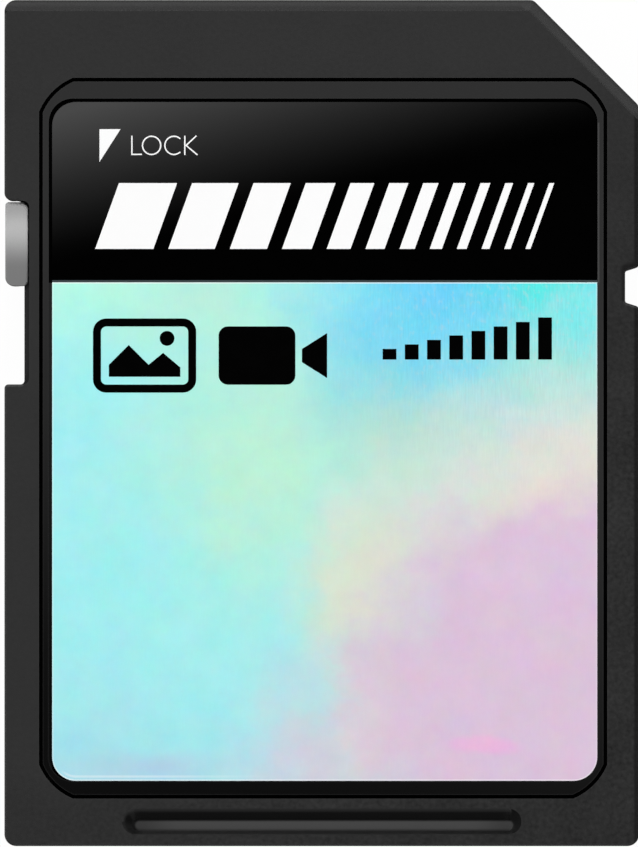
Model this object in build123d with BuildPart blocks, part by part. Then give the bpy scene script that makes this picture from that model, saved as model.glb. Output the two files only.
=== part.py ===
from build123d import *
import os
from math import sqrt

# A full-size memory card with a sliding write lock, in millimetres.
# It lies on its back with the label up. X runs across the card, Y along it with the
# contact end at +Y, and Z through its thickness. The origin is the middle of the back face.

# Card
card_width = 24.0
card_length = 32.0
card_thickness = 2.1
corner_cut = 4.0
corner_radius = 0.45
cut_radius = 0.35

# Case: two shells that meet at a seam, with a thin rail along each side
front_depth = 0.7
rail_thickness = 1.4
rail_width = 0.75
front_wall = 1.0
rear_wall = 1.9
cut_wall = 0.7
back_wall = 0.35
ceiling_wall = 0.25
edge_round = 0.1
back_round = 0.15
seam_chamfer = 0.04

# Bevels that lead the card into a socket
bevel_run = 0.42
bevel_drop = 0.28
rib_lead = 0.4
lip_lead = 0.22

# Ledge round the label, a hair below the face, and the fine groove that outlines it
ledge_side = 1.26
ledge_front = 2.95
ledge_rear = 1.8
ledge_shift = 0.05
ledge_depth = 0.03
ledge_corner = 1.28
ledge_bulge = 0.18
outline_width = 0.14
outline_depth = 0.2

# Pocket in the ledge, and the label that lies against its right and rear sides
pocket_side = 0.365
pocket_front = 0.785
pocket_rear = 0.66
pocket_depth = 0.12
label_play = 0.13
label_clearance = 0.01
label_corner = 0.9
label_thickness = 0.1

# Finger groove: a long slope on its front side, a short one on its rear side
groove_length = 15.1
groove_width = 0.98
groove_inset = 0.93
groove_depth = 0.28
groove_end_slope = 0.35
groove_front_slope = 0.46
groove_rear_slope = 0.16

# Write-lock slider and its notch in the left edge
lock_inset = 7.6
lock_length = 6.94
lock_wall = 0.26
lock_mouth_radius = 0.3
lock_corner_radius = 0.28
lock_end_radius = 0.15
tab_length = 3.18
tab_inset = 0.03
tab_crown = 0.12
tab_front_radius = 0.12
tab_rear_radius = 0.33
tab_inner_radius = 0.22
tab_edge_round = 0.06
lip_width = 0.19
lip_depth = 0.32
slide_clearance = 0.05
slot_below_seam = 0.25
slot_above_seam = 0.1
neck_length = 2.2
flange_length = 3.0
flange_thickness = 0.35
flange_end_gap = 0.15
pip_radius = 0.15
pip_height = 0.08
pip_clearance = 0.02
guide_thickness = 0.25

# Latch notch in the right edge
latch_inset = 10.1
latch_mouth = 1.51
latch_slope = 0.17
latch_depth = 0.53
latch_mouth_radius = 0.16
latch_corner_radius = 0.1

# Contacts
contact_depth = 0.7
pad_thickness = 0.03
pad_inset = 0.25
pad_length = 3.9
wide_pad = 1.5
wide_pads = 6
narrow_pad = 0.95
first_pad_inset = 2.0
last_pad_inset = 2.875
last_step = 1.7
next_step = 2.425
set_back_length = 3.2
row_gap = 1.7
second_pad_width = 0.9
second_pad_length = 1.7
slot_side_margin = 0.125
slot_end_margin = 0.2
slot_wall = 0.55

# Board and what it carries
board_thickness = 0.3
board_clearance = 0.1
board_ledge = 0.7
board_radius = 0.3
chip_headroom = 0.07
chip_edge = 0.04
chip_corner = 0.4
controller_size = 7.0
controller_inset = 6.0
chip_gap = 1.2
flash_side_gap = 1.8
flash_rear_gap = 1.9
passive_length = 1.0
passive_width = 0.5
terminal_length = 0.24
terminal_step = 0.02
capacitor_drop = 0.1
resistor_height = 0.23
column_gap = 1.6
column_pitch = 1.6
row_pitch = 1.5
rows = 4

# Pegs that locate the shells and the board, and plain posts that hold the board down
peg_radius = 0.4
peg_clearance = 0.05
peg_side_inset = 1.9
peg_rear_inset = 0.9
peg_top_gap = 0.1
boss_wall = 0.35
hold_gap = 0.02
post_radius = 0.5
post_front_inset = 1.2
post_left_inset = 1.5
post_right_inset = 3.9

# Levels through the thickness
rail_z = card_thickness - rail_thickness
seam_z = card_thickness - front_depth
ledge_z = card_thickness - ledge_depth
pocket_z = ledge_z - pocket_depth
ceiling_z = pocket_z - ceiling_wall
lip_z = card_thickness - lip_depth
board_z = contact_depth + pad_thickness
board_top_z = board_z + board_thickness
slot_bottom_z = seam_z - slot_below_seam
slot_top_z = seam_z + slot_above_seam

# Places in plan. A "line" is the constant x + y along an edge that is parallel to the cut corner.
half_width = card_width / 2
half_length = card_length / 2
cut_line = half_width + half_length - corner_cut
lock_front_y = half_length - lock_inset
lock_rear_y = lock_front_y - lock_length
raised_x = half_width - rail_width
notch_x = -raised_x
lip_x = notch_x + lip_width
cavity_x = -lip_x - lock_wall
cavity_front_y = half_length - front_wall
cavity_rear_y = rear_wall - half_length
cavity_line = cut_line - sqrt(2) * cut_wall
board_x = cavity_x - board_clearance
board_front_y = cavity_front_y - board_clearance
board_rear_y = cavity_rear_y + board_clearance
board_line = cavity_line - sqrt(2) * board_clearance
ledge_x = half_width - ledge_side
ledge_front_y = half_length - ledge_front
ledge_rear_y = ledge_rear - half_length
pocket_x = ledge_x - pocket_side
pocket_front_y = ledge_front_y - pocket_front
pocket_rear_y = ledge_rear_y + pocket_rear
pocket_corner = label_corner + label_clearance
groove_y = groove_inset - half_length
groove_floor_y = groove_y - (groove_front_slope - groove_rear_slope) / 2
groove_floor_length = groove_length - 2 * groove_end_slope
groove_floor_width = groove_width - groove_front_slope - groove_rear_slope
latch_front_y = half_length - latch_inset
latch_rear_y = latch_front_y - latch_mouth
latch_x = half_width - latch_depth

# Slider: the tab rests against the front end of its notch and travels to the rear end
lock_travel = lock_length - tab_length - 2 * slide_clearance
tab_front_y = lock_front_y - slide_clearance
tab_rear_y = tab_front_y - tab_length
tab_middle_y = (tab_front_y + tab_rear_y) / 2
tab_outer_x = tab_inset - half_width
tab_top_z = card_thickness - slide_clearance
neck_sweep = neck_length + lock_travel + 4 * slide_clearance
flange_outer_x = slide_clearance - cavity_x
flange_inner_x = flange_outer_x + flange_thickness
flange_sweep = flange_length + lock_travel + 2 * flange_end_gap
guide_x = flange_inner_x + pip_height + pip_clearance
sweep_middle_y = tab_middle_y - lock_travel / 2
detent_radius = pip_radius + slide_clearance
board_cut_x = guide_x + guide_thickness + board_clearance
slot_middle_x = (notch_x - cavity_x) / 2
slot_depth = -cavity_x - notch_x

# Contacts: nine in the first row and eight behind it, numbered from the cut corner's side.
# The last of the first row sits next to the cut corner, set back behind it.
first_column_x = half_width - first_pad_inset
last_column_x = last_pad_inset - half_width
pad_pitch = (first_column_x - last_column_x - last_step - next_step) / wide_pads
pad_columns = [first_column_x - (step + 1) * pad_pitch for step in range(wide_pads)]
pad_columns += [last_column_x + last_step, last_column_x]
pad_widths = [wide_pad] * wide_pads + [narrow_pad, narrow_pad]
pad_front_y = board_front_y - pad_inset
set_back_front_y = board_line - (first_column_x + narrow_pad / 2) - pad_inset
second_front_y = pad_front_y - pad_length - row_gap

# Each contact as its column, its front end, its width and its length
first_row = [(x, pad_front_y, width, pad_length) for x, width in zip(pad_columns, pad_widths)]
first_row += [(first_column_x, set_back_front_y, narrow_pad, set_back_length)]
second_row = [(x, second_front_y, second_pad_width, second_pad_length) for x in pad_columns]
contacts = first_row + second_row
under_board_front_y = second_front_y - second_pad_length - slot_end_margin - slot_wall

# Chips and small parts
chip_height = ceiling_z - board_top_z - chip_headroom
controller_y = half_length - controller_inset - controller_size / 2
flash_front_y = controller_y - controller_size / 2 - chip_gap
flash_rear_y = cavity_rear_y + flash_rear_gap
flash_length = flash_front_y - flash_rear_y
flash_width = 2 * (cavity_x - flash_side_gap)
capacitor_height = chip_height - capacitor_drop
capacitor_x = controller_size / 2 + column_gap
resistor_x = capacitor_x + column_pitch

# Pegs and posts
peg_x = cavity_x - peg_side_inset
peg_y = cavity_rear_y + peg_rear_inset
peg_places = [(-peg_x, peg_y), (peg_x, peg_y)]
bore_radius = peg_radius + peg_clearance
post_y = cavity_front_y - post_front_inset
post_places = [(post_left_inset - cavity_x, post_y), (cavity_x - post_right_inset, post_y)]
hold_z = board_top_z + hold_gap


# Corners of the whole card with both edge notches, each with its radius
card_corners = [
    ((-half_width, -half_length), corner_radius),
    ((half_width, -half_length), corner_radius),
    ((half_width, latch_rear_y), latch_mouth_radius),
    ((latch_x, latch_rear_y + latch_slope), latch_corner_radius),
    ((latch_x, latch_front_y - latch_slope), latch_corner_radius),
    ((half_width, latch_front_y), latch_mouth_radius),
    ((half_width, cut_line - half_width), cut_radius),
    ((cut_line - half_length, half_length), cut_radius),
    ((-half_width, half_length), corner_radius),
    ((-half_width, lock_front_y), lock_mouth_radius),
    ((notch_x, lock_front_y), lock_corner_radius),
    ((notch_x, lock_rear_y), lock_end_radius),
    ((-half_width, lock_rear_y), lock_end_radius),
]


def plain_plan(side_x, front_y, rear_y, line, radius):
    """Corners and their radii of a plain outline with the cut corner along the given line."""
    corners = [
        (-side_x, rear_y),
        (side_x, rear_y),
        (side_x, line - side_x),
        (line - front_y, front_y),
        (-side_x, front_y),
    ]
    return [(corner, radius) for corner in corners]


def tab_plan(inner_x):
    """Corners and their radii of the slider's tab, as wide as to inner_x."""
    return [
        ((tab_outer_x, tab_front_y), tab_front_radius),
        ((tab_outer_x, tab_rear_y), tab_rear_radius),
        ((inner_x, tab_rear_y), tab_inner_radius),
        ((inner_x, tab_front_y), lock_corner_radius),
    ]


def rounded_face(plan):
    """A face inside the given corners, each rounded to its own radius."""
    with BuildSketch() as face:
        with BuildLine():
            corners = [corner for corner, _ in plan]
            radii = [radius for _, radius in plan]
            FilletPolyline(corners, radius=radii, close=True)
        make_face()
    return face.sketch


def span(low, high):
    """The middle and the length of a stretch."""
    return (low + high) / 2, high - low


card_plan = rounded_face(card_corners)
raised_plan = rounded_face(plain_plan(raised_x, half_length, -half_length, cut_line, cut_radius))
cavity_plan = rounded_face(plain_plan(cavity_x, cavity_front_y, cavity_rear_y, cavity_line, board_radius))
board_plan = rounded_face(plain_plan(board_x, board_front_y, board_rear_y, board_line, board_radius))

# Ledge outline: straight sides, and corners cut off by shallow arcs
with BuildSketch() as ledge_plan:
    with BuildLine():
        ledge_ends = [
            (ledge_corner - ledge_x, ledge_rear_y),
            (ledge_x - ledge_corner, ledge_rear_y),
            (ledge_x, ledge_rear_y + ledge_corner),
            (ledge_x, ledge_front_y - ledge_corner),
            (ledge_x - ledge_corner, ledge_front_y),
            (ledge_corner - ledge_x, ledge_front_y),
            (-ledge_x, ledge_front_y - ledge_corner),
            (-ledge_x, ledge_rear_y + ledge_corner),
        ]
        for side in range(0, len(ledge_ends), 2):
            Line(ledge_ends[side], ledge_ends[side + 1])
            SagittaArc(ledge_ends[side + 1], ledge_ends[(side + 2) % len(ledge_ends)], -ledge_bulge)
    make_face()

# Planes across the two bevelled edges of the front, with local X outwards and local Y up
bevel_planes = [
    Plane((0, half_length, 0), x_dir=(0, 1, 0), z_dir=(1, 0, 0)),
    Plane(
        (half_width - corner_cut / 2, half_length - corner_cut / 2, 0),
        x_dir=(1, 1, 0),
        z_dir=(1, -1, 0),
    ),
]

# Front shell
with BuildPart() as front_shell:
    with BuildSketch(Plane.XY.offset(seam_z)):
        add(card_plan)
    extrude(amount=front_depth)
    fillet(front_shell.edges().group_by(Axis.Z)[-1], edge_round)
    chamfer(front_shell.edges().group_by(Axis.Z)[0], seam_chamfer)

    for bevel_plane in bevel_planes:
        with BuildSketch(bevel_plane):
            with BuildLine():
                Polyline(
                    (-2 * bevel_run, card_thickness + bevel_drop),
                    (bevel_run, card_thickness - 2 * bevel_drop),
                    (bevel_run, card_thickness + bevel_drop),
                    close=True,
                )
            make_face()
        extrude(amount=half_width, both=True, mode=Mode.SUBTRACT)

    # Ledge, its outline groove and the label's pocket
    with BuildSketch(Plane((ledge_shift, 0, ledge_z))):
        add(ledge_plan.sketch)
    extrude(amount=ledge_depth, mode=Mode.SUBTRACT)
    with BuildSketch(Plane((ledge_shift, 0, ledge_z - outline_depth))):
        add(ledge_plan.sketch)
        offset(amount=-outline_width, mode=Mode.SUBTRACT)
    extrude(amount=outline_depth, mode=Mode.SUBTRACT)
    with BuildSketch(Plane((ledge_shift, 0, pocket_z))):
        pocket_middle_y, pocket_length = span(pocket_rear_y, pocket_front_y)
        with Locations((0, pocket_middle_y)):
            RectangleRounded(2 * pocket_x, pocket_length, pocket_corner)
    extrude(amount=pocket_depth, mode=Mode.SUBTRACT)

    # Finger groove
    with BuildSketch(Plane.XY.offset(card_thickness)):
        with Locations((0, groove_y)):
            SlotOverall(groove_length, groove_width)
    with BuildSketch(Plane.XY.offset(card_thickness - groove_depth)):
        with Locations((0, groove_floor_y)):
            SlotOverall(groove_floor_length, groove_floor_width)
    loft(mode=Mode.SUBTRACT)

    # Room for the board and chips, the slot for the slider's neck and the shelf under its lip
    with BuildSketch(Plane.XY.offset(seam_z)):
        add(cavity_plan)
    extrude(amount=ceiling_z - seam_z, mode=Mode.SUBTRACT)
    with BuildSketch(Plane.XY.offset(seam_z)):
        with Locations((slot_middle_x, sweep_middle_y)):
            Rectangle(slot_depth, neck_sweep)
    extrude(amount=slot_above_seam, mode=Mode.SUBTRACT)
    with BuildSketch(Plane.XY.offset(lip_z)):
        lip_middle_x, shelf_width = span(notch_x - lock_corner_radius, lip_x)
        lip_middle_y, shelf_length = span(lock_rear_y, lock_front_y)
        with Locations((lip_middle_x, lip_middle_y)):
            RectangleRounded(shelf_width, shelf_length, lock_corner_radius - slide_clearance)
    extrude(amount=lip_depth, mode=Mode.SUBTRACT)

    # Bosses for the pegs, and posts
    with BuildSketch(Plane.XY.offset(hold_z)):
        with Locations(*peg_places):
            Circle(bore_radius + boss_wall)
            Circle(bore_radius, mode=Mode.SUBTRACT)
        with Locations(*post_places):
            Circle(post_radius)
    extrude(amount=ceiling_z - hold_z)
front_shell.part.label = "front_shell"

# Back shell
with BuildPart() as back_shell:
    with BuildSketch(Plane.XY.offset(rail_z)):
        add(card_plan)
    extrude(amount=seam_z - rail_z)
    chamfer(back_shell.edges().group_by(Axis.Z)[-1], seam_chamfer)
    with BuildSketch(Plane.XY):
        add(raised_plan)
    extrude(amount=rail_z)
    fillet(back_shell.edges().group_by(Axis.Z)[0], back_round)

    with BuildSketch(bevel_planes[0]):
        with BuildLine():
            Polyline((-rib_lead, 0), (0, 0), (0, rib_lead), close=True)
        make_face()
    extrude(amount=half_width, both=True, mode=Mode.SUBTRACT)

    # Slots that run out through the leading edge, with a slope on the lip over each
    with BuildSketch(Plane.XY):
        for x, front_y, width, length in first_row:
            slot_middle_y, slot_length = span(front_y - length - slot_end_margin, half_length)
            with Locations((x, slot_middle_y)):
                Rectangle(width + 2 * slot_side_margin, slot_length)
    extrude(amount=contact_depth, mode=Mode.SUBTRACT)
    for x, _, width, _ in first_row[:-1]:
        with BuildSketch(Plane((x, half_length, contact_depth), x_dir=(0, 1, 0), z_dir=(1, 0, 0))):
            with BuildLine():
                Polyline((-lip_lead, 0), (0, 0), (0, lip_lead), close=True)
            make_face()
        extrude(amount=width / 2 + slot_side_margin, both=True, mode=Mode.SUBTRACT)

    # Windows through which the pads show
    with BuildSketch(Plane.XY):
        for x, front_y, width, length in contacts:
            with Locations((x, front_y - length / 2)):
                Rectangle(width + 2 * slot_side_margin, length + 2 * slot_end_margin)
    extrude(amount=board_z, mode=Mode.SUBTRACT)

    # Room for the board, a ledge under its rim, and room below it behind the contacts
    with BuildSketch(Plane.XY.offset(board_z)):
        add(cavity_plan)
    extrude(amount=seam_z - board_z, mode=Mode.SUBTRACT)
    with BuildSketch(Plane.XY.offset(back_wall)):
        under_middle_y, under_length = span(cavity_rear_y + board_ledge, under_board_front_y)
        with Locations((0, under_middle_y)):
            RectangleRounded(2 * (cavity_x - board_ledge), under_length, board_radius)
    extrude(amount=board_z - back_wall, mode=Mode.SUBTRACT)

    # Slot that the slider's neck runs in
    with BuildSketch(Plane.XY.offset(slot_bottom_z)):
        with Locations((slot_middle_x, sweep_middle_y)):
            Rectangle(slot_depth, neck_sweep)
    extrude(amount=slot_below_seam, mode=Mode.SUBTRACT)

    # Guide that keeps the slider's flange against the side wall, with a dimple at each end of its travel
    with BuildSketch(Plane.XY.offset(back_wall)):
        with Locations((guide_x + guide_thickness / 2, sweep_middle_y)):
            Rectangle(guide_thickness, flange_sweep)
        with Locations((guide_x, tab_middle_y), (guide_x, tab_middle_y - lock_travel)):
            Circle(detent_radius, mode=Mode.SUBTRACT)
    extrude(amount=seam_z - back_wall)

    # Pegs on shoulders that carry the board
    with BuildSketch(Plane.XY.offset(back_wall)):
        with Locations(*peg_places):
            Circle(bore_radius + boss_wall)
    extrude(amount=board_z - back_wall)
    with BuildSketch(Plane.XY.offset(board_z)):
        with Locations(*peg_places):
            Circle(peg_radius)
    extrude(amount=ceiling_z - peg_top_gap - board_z)
back_shell.part.label = "back_shell"

# Write-lock slider: a crowned tab with a lip outside, a neck through the seam and a flange that traps it
with BuildPart() as lock_slider:
    with BuildSketch(Plane.XY.offset(rail_z + slide_clearance)):
        add(rounded_face(tab_plan(notch_x - slide_clearance)))
    extrude(amount=lip_z - rail_z)
    with BuildSketch(Plane.XY.offset(lip_z + slide_clearance)):
        add(rounded_face(tab_plan(lip_x - slide_clearance)))
    extrude(amount=tab_top_z - lip_z - slide_clearance)
    with BuildSketch(Plane.YZ):
        with BuildLine():
            crown = ThreePointArc(
                (tab_rear_y, tab_top_z - tab_crown),
                (tab_middle_y, tab_top_z),
                (tab_front_y, tab_top_z - tab_crown),
            )
            Polyline(crown @ 1, (tab_front_y, card_thickness), (tab_rear_y, card_thickness), crown @ 0)
        make_face()
    extrude(amount=-half_width, mode=Mode.SUBTRACT)
    fillet(lock_slider.faces().sort_by(Axis.Z)[-1].edges(), tab_edge_round)

    neck_bottom_z = slot_bottom_z + slide_clearance
    neck_top_z = slot_top_z - slide_clearance
    with BuildSketch(Plane.XY.offset(neck_bottom_z)):
        neck_middle_x, neck_reach = span(notch_x - slide_clearance, flange_outer_x)
        with Locations((neck_middle_x, tab_middle_y)):
            Rectangle(neck_reach, neck_length)
    extrude(amount=neck_top_z - neck_bottom_z)
    with BuildSketch(Plane.XY.offset(board_z + slide_clearance)):
        with Locations((flange_outer_x + flange_thickness / 2, tab_middle_y)):
            Rectangle(flange_thickness, flange_length)
        with Locations((flange_inner_x + pip_height - pip_radius, tab_middle_y)):
            Circle(pip_radius)
    extrude(amount=ceiling_z - board_z - 2 * slide_clearance)
lock_slider.part.label = "lock_slider"

# Label
with BuildPart() as front_label:
    with BuildSketch(Plane((ledge_shift, 0, pocket_z))):
        label_middle_x, label_width = span(label_play - pocket_x, pocket_x - label_clearance)
        label_middle_y, label_length = span(pocket_rear_y + label_clearance, pocket_front_y - label_play)
        with Locations((label_middle_x, label_middle_y)):
            RectangleRounded(label_width, label_length, label_corner)
    extrude(amount=label_thickness)
front_label.part.label = "front_label"

# Circuit board, cut away beside the slider
with BuildPart() as circuit_board:
    with BuildSketch(Plane.XY.offset(board_z)):
        add(board_plan)
        bay_middle_x, bay_width = span(-half_width, board_cut_x)
        with Locations((bay_middle_x, sweep_middle_y)):
            Rectangle(bay_width, flange_sweep + 2 * board_clearance, mode=Mode.SUBTRACT)
        with Locations(*peg_places):
            Circle(bore_radius, mode=Mode.SUBTRACT)
    extrude(amount=board_thickness)
circuit_board.part.label = "circuit_board"

main_parts = [front_shell, back_shell, lock_slider, front_label, circuit_board]
finished_parts = [main_part.part for main_part in main_parts]

# Contact pads on the under side of the board
for number, (x, front_y, width, length) in enumerate(contacts, start=1):
    with BuildPart() as contact_pad:
        with BuildSketch(Plane.XY.offset(contact_depth)):
            with Locations((x, front_y - length / 2)):
                Rectangle(width, length)
        extrude(amount=pad_thickness)
    contact_pad.part.label = f"contact_pad_{number}"
    finished_parts.append(contact_pad.part)

# Chips, each with one corner cut off beside its first terminal
chips = {
    "controller_chip": (controller_y, controller_size, controller_size),
    "flash_chip": ((flash_front_y + flash_rear_y) / 2, flash_width, flash_length),
}
for name, (middle_y, width, length) in chips.items():
    with BuildPart() as chip:
        with BuildSketch(Plane.XY.offset(board_top_z)):
            with Locations((0, middle_y)):
                Rectangle(width, length)
        extrude(amount=chip_height)
        chamfer(chip.edges().filter_by(Axis.Z).group_by(Axis.X)[0].sort_by(Axis.Y)[-1], chip_corner)
        chamfer(chip.edges().group_by(Axis.Z)[-1], chip_edge)
    chip.part.label = name
    finished_parts.append(chip.part)

# Small parts in columns on both sides of the controller, each a body between two end terminals
small_parts = {"capacitor": (capacitor_x, capacitor_height), "resistor": (resistor_x, resistor_height)}
for name, (column_x, height) in small_parts.items():
    places = GridLocations(2 * column_x, row_pitch, 2, rows).locations
    for number, place in enumerate(places, start=1):
        x = place.position.X
        y = place.position.Y + controller_y
        with BuildPart() as small_part:
            with BuildSketch(Plane.XY.offset(board_top_z)):
                with Locations((x, y)):
                    Rectangle(passive_length - terminal_length, passive_width - 2 * terminal_step)
            extrude(amount=height - terminal_step)
            with BuildSketch(Plane.XY.offset(board_top_z)):
                with Locations((x, y)):
                    with GridLocations(passive_length - terminal_length, 0, 2, 1):
                        Rectangle(terminal_length, passive_width)
            extrude(amount=height)
        small_part.part.label = f"{name}_{number}"
        finished_parts.append(small_part.part)

os.makedirs("parts", exist_ok=True)
for part in finished_parts:
    export_step(part, f"parts/{part.label}.step")
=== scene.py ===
# %% [markdown]
# # A memory card with a write-lock slider
# The solids of the card come ready made: two moulded shells, the lock slider, the label film, and the
# board with its contacts and chips. This lesson gives each of them its finish and lays the print on the
# label as thin ink. Everything is in metres, in the frame of the solids: X runs across the card, Y
# towards the contact end, and Z up through the label.

# %% Load the frame
from math import cos, radians, sin

import bmesh
import bpy
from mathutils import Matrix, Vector


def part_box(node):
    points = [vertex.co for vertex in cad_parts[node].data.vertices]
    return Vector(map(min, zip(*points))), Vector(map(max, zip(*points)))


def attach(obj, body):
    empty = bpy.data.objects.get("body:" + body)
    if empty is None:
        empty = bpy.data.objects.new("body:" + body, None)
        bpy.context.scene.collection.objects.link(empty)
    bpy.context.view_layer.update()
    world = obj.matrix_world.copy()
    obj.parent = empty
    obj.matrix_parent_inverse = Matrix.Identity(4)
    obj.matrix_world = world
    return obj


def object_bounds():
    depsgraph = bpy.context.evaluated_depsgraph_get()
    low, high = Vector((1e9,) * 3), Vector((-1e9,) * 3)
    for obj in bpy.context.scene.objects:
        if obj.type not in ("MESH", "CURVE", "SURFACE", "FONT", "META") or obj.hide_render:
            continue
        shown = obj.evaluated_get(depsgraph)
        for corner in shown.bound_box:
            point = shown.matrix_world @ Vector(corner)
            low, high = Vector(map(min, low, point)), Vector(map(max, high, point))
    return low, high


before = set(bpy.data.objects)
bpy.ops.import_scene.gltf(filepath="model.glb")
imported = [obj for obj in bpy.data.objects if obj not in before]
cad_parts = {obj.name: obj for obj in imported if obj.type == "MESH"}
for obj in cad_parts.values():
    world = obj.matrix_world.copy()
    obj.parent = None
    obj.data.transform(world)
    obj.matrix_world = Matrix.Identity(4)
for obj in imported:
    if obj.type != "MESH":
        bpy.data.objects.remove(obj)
cad_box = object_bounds()

MM = 0.001
card_low, card_high = cad_box
print("card, mm:", [round(side / MM, 2) for side in card_high - card_low])

# %% [markdown]
# ## Camera
# The picture looks straight down on the label, and the card fills it almost to its edges. A short lens
# close up would show the card's sides. A long lens half a metre away keeps every edge square, as a
# product photographer's lens does, and it follows from the stretch of card that the picture's long side
# shows.

# %% Camera
view_length = 32.02 * MM
view_centre = Vector((-0.106, -0.02, 0)) * MM
camera_distance = 0.5
sensor_size = 36.0

camera_data = bpy.data.cameras.new("camera")
camera_data.sensor_width = sensor_size
camera_data.lens = sensor_size * camera_distance / view_length
camera_data.clip_start = 0.01
camera_data.clip_end = 10.0
camera = bpy.data.objects.new("camera", camera_data)
camera.location = (view_centre.x, view_centre.y, card_high.z + camera_distance)
bpy.context.scene.collection.objects.link(camera)
bpy.context.scene.camera = camera
bpy.context.scene.view_settings.view_transform = "Standard"
print("lens, mm:", round(camera_data.lens, 1))

# %% [markdown]
# ## Building shader trees
# Every finish below is a small tree of shader nodes. A few helpers keep them short: one adds a node and
# feeds its inputs, others do one step of arithmetic, and one mixes two colours by a mask. An input is fed
# with a number or with another node's output, so the code reads like the tree.

# %% Node helpers
def feed(tree, socket, value):
    """Set a socket to a number or colour, or link it to another node's output."""
    if isinstance(value, bpy.types.NodeSocket):
        tree.links.new(value, socket)
    else:
        socket.default_value = value


def add_node(tree, kind, inputs=None, **options):
    """Add one node with its options set and its inputs fed by name."""
    node = tree.nodes.new("ShaderNode" + kind)
    for option, value in options.items():
        setattr(node, option, value)
    for name, value in (inputs or {}).items():
        feed(tree, node.inputs[name], value)
    return node


def calc(tree, operation, *values):
    """One step of arithmetic on numbers or sockets."""
    node = tree.nodes.new("ShaderNodeMath")
    node.operation = operation
    for socket, value in zip(node.inputs, values):
        feed(tree, socket, value)
    return node.outputs[0]


def blend_vectors(tree, operation, first, second):
    """One step of arithmetic on vectors, such as places or colours."""
    return add_node(tree, "VectorMath", {0: first, 1: second}, operation=operation).outputs[0]


def scale_vector(tree, vector, scale):
    """A vector or colour made longer or brighter."""
    return add_node(tree, "VectorMath", {"Vector": vector, "Scale": scale}, operation="SCALE").outputs[0]


def mix_colours(tree, mask, under, over):
    """The colour over shows where the mask is 1, and the colour under where it is 0."""
    node = tree.nodes.new("ShaderNodeMix")
    node.data_type = "RGBA"
    feed(tree, node.inputs[0], mask)
    feed(tree, node.inputs[6], under)
    feed(tree, node.inputs[7], over)
    return node.outputs[2]


node_helpers = feed, add_node, calc, blend_vectors, scale_vector, mix_colours
print("node helpers:", [helper.__name__ for helper in node_helpers])

# %% [markdown]
# ## Masks
# A mask is a value between 0 and 1 over a surface, and most finishes find their features with masks. One
# helper carries a stretch of values to another, and masks that rise or fall are made with it. Others ask
# whether a value lies in a stretch, and join masks.

# %% Mask helpers
def remap(tree, value, low, high, new_low, new_high, kind="SMOOTHSTEP"):
    """Carry a stretch of values to another, held at both ends."""
    inputs = {"Value": value, "From Min": low, "From Max": high, "To Min": new_low, "To Max": new_high}
    return add_node(tree, "MapRange", inputs, interpolation_type=kind).outputs[0]


def rise(tree, value, start, full, most=1.0):
    """A mask that grows from 0 at one value to its most at another."""
    return remap(tree, value, start, full, 0.0, most)


def fall(tree, value, full, end, least=0.0):
    """A mask that sinks from 1 at one value to its least at another."""
    return remap(tree, value, full, end, 1.0, least)


def within(tree, value, low, high):
    """A mask that is 1 in one stretch of values and 0 outside it."""
    return calc(tree, "COMPARE", value, (low + high) / 2, (high - low) / 2)


def both(tree, first, *others):
    """A mask that is 1 only where all of the masks are."""
    mask = first
    for other in others:
        mask = calc(tree, "MULTIPLY", mask, other)
    return mask


def either(tree, first, *others):
    """A mask that is 1 where any of the masks is."""
    mask = first
    for other in others:
        mask = calc(tree, "MAXIMUM", mask, other)
    return mask


mask_helpers = remap, rise, fall, within, both, either
print("mask helpers:", [helper.__name__ for helper in mask_helpers])

# %% [markdown]
# ## Places and colours
# A place on a piece is read in millimetres, and distances are worked out from its coordinates. Colours are
# written as a picture writes them, so that a tone can be compared with one on the screen.

# %% Place and colour helpers
def apart(tree, value, centre):
    """How far a value is from a centre, to either side."""
    return calc(tree, "ABSOLUTE", calc(tree, "SUBTRACT", value, centre))


def beyond(tree, value, limit):
    """How far a value is past a limit, and 0 before it."""
    return calc(tree, "MAXIMUM", calc(tree, "SUBTRACT", value, limit), 0.0)


def flat_distance(tree, x, y):
    """The straight distance that two offsets make."""
    way = add_node(tree, "CombineXYZ", {"X": x, "Y": y, "Z": 0.0}).outputs[0]
    return add_node(tree, "VectorMath", {0: way}, operation="LENGTH").outputs["Value"]


def place_mm(tree):
    """Where a point of the surface is on its piece, in millimetres."""
    return scale_vector(tree, add_node(tree, "TexCoord").outputs["Object"], 1 / MM)


def axes(tree, place):
    """The X, Y and Z of a place as three values."""
    return add_node(tree, "SeparateXYZ", {"Vector": place}).outputs


def shade(red, green, blue):
    """A colour as a picture writes it, 0 to 255, turned into the light that Blender counts in."""
    light = []
    for level in (red / 255, green / 255, blue / 255):
        light.append(level / 12.92 if level <= 0.04045 else ((level + 0.055) / 1.055) ** 2.4)
    return (*light, 1.0)


def grey(level):
    """A neutral colour, 0 to 255."""
    return shade(level, level, level)


print("charcoal in light:", round(grey(50)[0], 4))

# %% [markdown]
# ## Sky
# A product picture of a black card is taken in a white tent with a dark patch above the lens, so that the
# flat top doesn't mirror the tent and go grey. Here the sky is white at the horizon and dark overhead,
# and brighter beyond the contact end than on the other sides, which gives the bevels and edges their
# tones. To the camera itself it is plain white, so that the card stands on white from every side.

# %% Sky
horizon_light = 0.95
overhead_light = 0.005
tent_rise = 0.05, 0.8
bright_side = (-0.1, 1.0, 0.0)
dim_share = 0.35
dim_facing = -0.7, 0.9

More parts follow.
